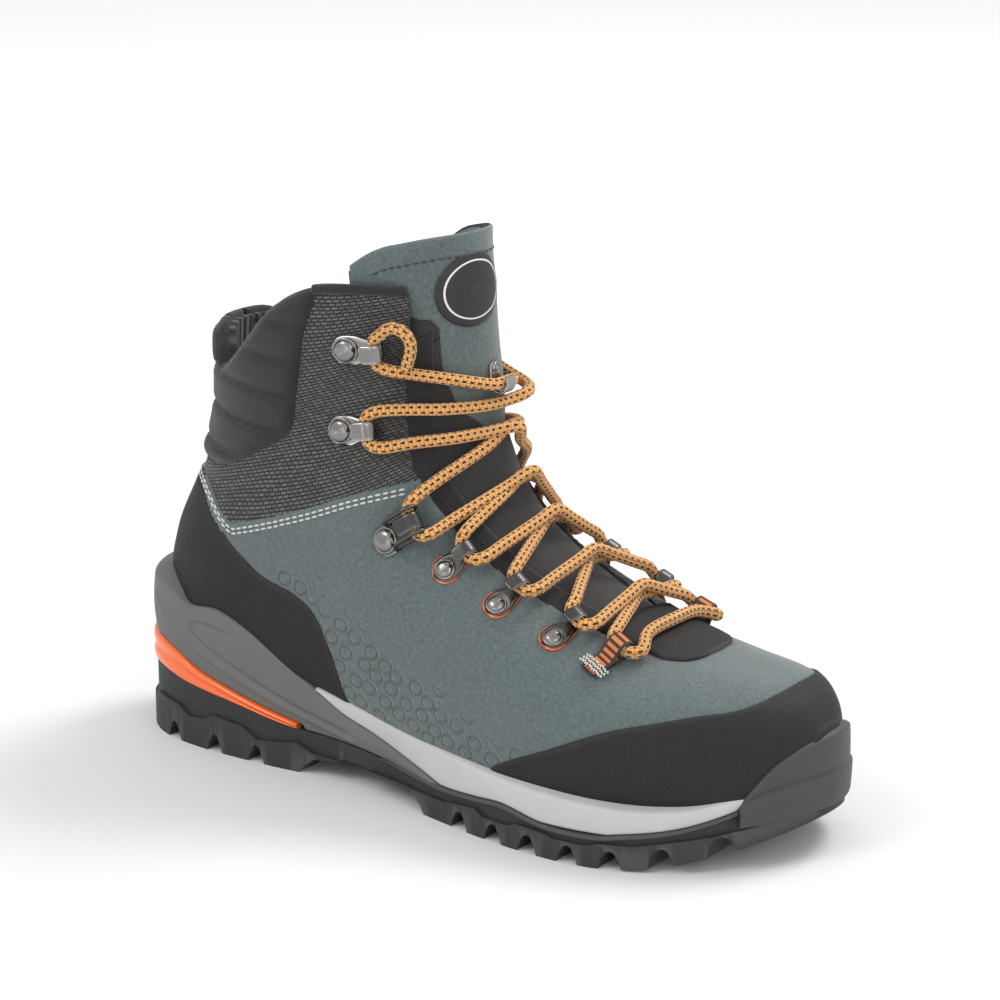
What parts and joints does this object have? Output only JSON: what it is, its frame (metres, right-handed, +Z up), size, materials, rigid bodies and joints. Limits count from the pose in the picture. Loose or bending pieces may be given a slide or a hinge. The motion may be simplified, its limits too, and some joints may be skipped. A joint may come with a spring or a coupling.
{
  "type": "hiking boot",
  "caption": "Ankle-high hiking boot with a lugged sole, rubber rands, padded collar, riveted lacing hooks and a laced, padded tongue.",
  "frame": {"origin": "on the floor, centre of the bounding box seen from above", "axes": "+X to the toe, +Y to the inner side of a right foot, +Z up"},
  "size_m": [0.3, 0.1061, 0.2118],
  "materials": {
    "outsole_rubber": "matt moulded rubber",
    "orange_plastic": "glossy",
    "dark_foam": "smooth moulded foam",
    "pale_foam": "smooth moulded foam",
    "rand_rubber": "fine grained rubber",
    "suede": "napped suede",
    "textile": "embossed textile",
    "softshell": "stretch softshell",
    "gunmetal": "polished dark nickel",
    "lace": "braided",
    "board": "fibre board",
    "steel": "plain",
    "lining": "knitted mesh",
    "footbed": "felt",
    "badge": "moulded",
    "webbing": "woven webbing"
  },
  "bodies": {
    "root": {"outsole": "outsole_rubber", "heel_insert": "orange_plastic", "heel_cup": "dark_foam", "midsole": "pale_foam", "insole_board": "board", "shank": "steel", "heel_counter": "board", "toe_puff": "board", "lining_bootie": "lining", "suede_upper": "suede", "toe_rand": "rand_rubber", "heel_rand": "rand_rubber", "ankle_panel_outer": "textile", "ankle_panel_inner": "textile", "collar_pad": "softshell", "collar_binding_outer": "softshell", "collar_binding_inner": "softshell", "facing_outer": "softshell", "facing_inner": "softshell", "tongue_pad": "softshell", "tongue_face": "suede", "throat_tab": "softshell", "tongue_hook": "gunmetal", "tongue_hook_rivet": "gunmetal", "lace": "lace", "lace_loop_outer": "webbing", "eyelet_lower_outer": "gunmetal", "eyelet_lower_rivet_outer": "gunmetal", "eyelet_middle_outer": "gunmetal", "eyelet_middle_rivet_outer": "gunmetal", "eyelet_upper_outer": "gunmetal", "eyelet_upper_rivet_outer": "gunmetal", "locking_hook_outer": "gunmetal", "locking_hook_rivet_outer": "gunmetal", "speed_hook_lower_outer": "gunmetal", "speed_hook_lower_rivet_outer": "gunmetal", "speed_hook_upper_outer": "gunmetal", "speed_hook_upper_rivet_outer": "gunmetal", "lace_loop_inner": "webbing", "eyelet_lower_inner": "gunmetal", "eyelet_lower_rivet_inner": "gunmetal", "eyelet_middle_inner": "gunmetal", "eyelet_middle_rivet_inner": "gunmetal", "eyelet_upper_inner": "gunmetal", "eyelet_upper_rivet_inner": "gunmetal", "locking_hook_inner": "gunmetal", "locking_hook_rivet_inner": "gunmetal", "speed_hook_lower_inner": "gunmetal", "speed_hook_lower_rivet_inner": "gunmetal", "speed_hook_upper_inner": "gunmetal", "speed_hook_upper_rivet_inner": "gunmetal"},
    "footbed": {"footbed": "footbed"},
    "tongue_top": {"tongue_pad_top": "softshell", "tongue_face_top": "suede", "tongue_badge": "badge"}
  },
  "joints": [
    {"name": "footbed_lift", "type": "hinge", "parent": "root", "child": "footbed", "pos_m": [0.139, 0.0025, 0.031], "axis": [0, 1, 0], "range_deg": [0, 2]},
    {"name": "tongue_flex", "type": "hinge", "parent": "root", "child": "tongue_top", "pos_m": [-0.006, 0.0025, 0.1745], "axis": [0, 1, 0], "range_deg": [-8, 8], "stiffness_Nm_per_rad": 0.2}
  ]
}
